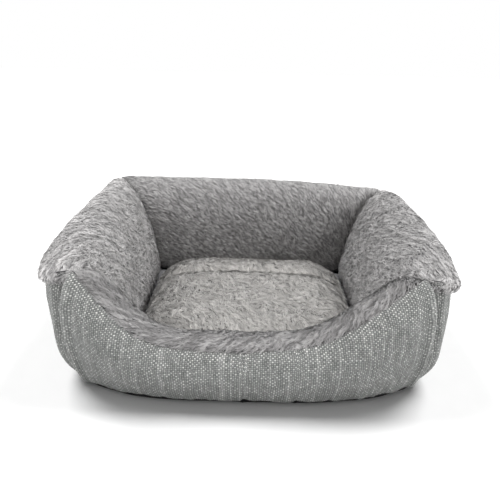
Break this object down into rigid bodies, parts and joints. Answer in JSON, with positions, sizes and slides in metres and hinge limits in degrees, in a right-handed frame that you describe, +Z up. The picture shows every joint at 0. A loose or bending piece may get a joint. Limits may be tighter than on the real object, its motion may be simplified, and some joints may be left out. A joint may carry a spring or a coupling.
{
  "type": "pet cushion bed",
  "caption": "Rectangular bolster pet bed with stuffed walls, a dipped front, woven outer faces, plush lining and a loose plush cushion.",
  "frame": {"origin": "on the floor, under the middle of the bed's bounding box", "axes": "+X to the bed's right as seen from its low front, +Y towards the back wall, +Z up"},
  "size_m": [0.6406, 0.4896, 0.2016],
  "materials": {
    "woven_grey": "chunky basket weave, light grey with off-white flecks, matt",
    "plush_grey": "mid-grey faux rabbit fur plush, about 10 mm pile in wavy clumps",
    "black_base_cloth": "black coated base cloth with small raised grip dots",
    "lining_grey": "plain-woven grey polyester lining, matt",
    "polyester_fibre": "white loose polyester fibre"
  },
  "bodies": {
    "bed": {"outer_panel_front": "woven_grey", "outer_panel_back": "woven_grey", "outer_panel_left": "woven_grey", "outer_panel_right": "woven_grey", "plush_panel_front": "plush_grey", "plush_panel_back": "plush_grey", "plush_panel_left": "plush_grey", "plush_panel_right": "plush_grey", "bolster_fill_front": "polyester_fibre", "bolster_fill_back": "polyester_fibre", "bolster_fill_left": "polyester_fibre", "bolster_fill_right": "polyester_fibre", "base_cloth": "black_base_cloth", "base_wadding": "polyester_fibre", "floor_lining": "lining_grey"},
    "cushion": {"cushion_top_cover": "plush_grey", "cushion_bottom_cover": "lining_grey", "cushion_fill": "polyester_fibre"}
  },
  "joints": [
    {"name": "cushion_lift", "type": "slide", "parent": "bed", "child": "cushion", "axis": [0, 0, 1], "range_m": [0, 0.25]}
  ]
}
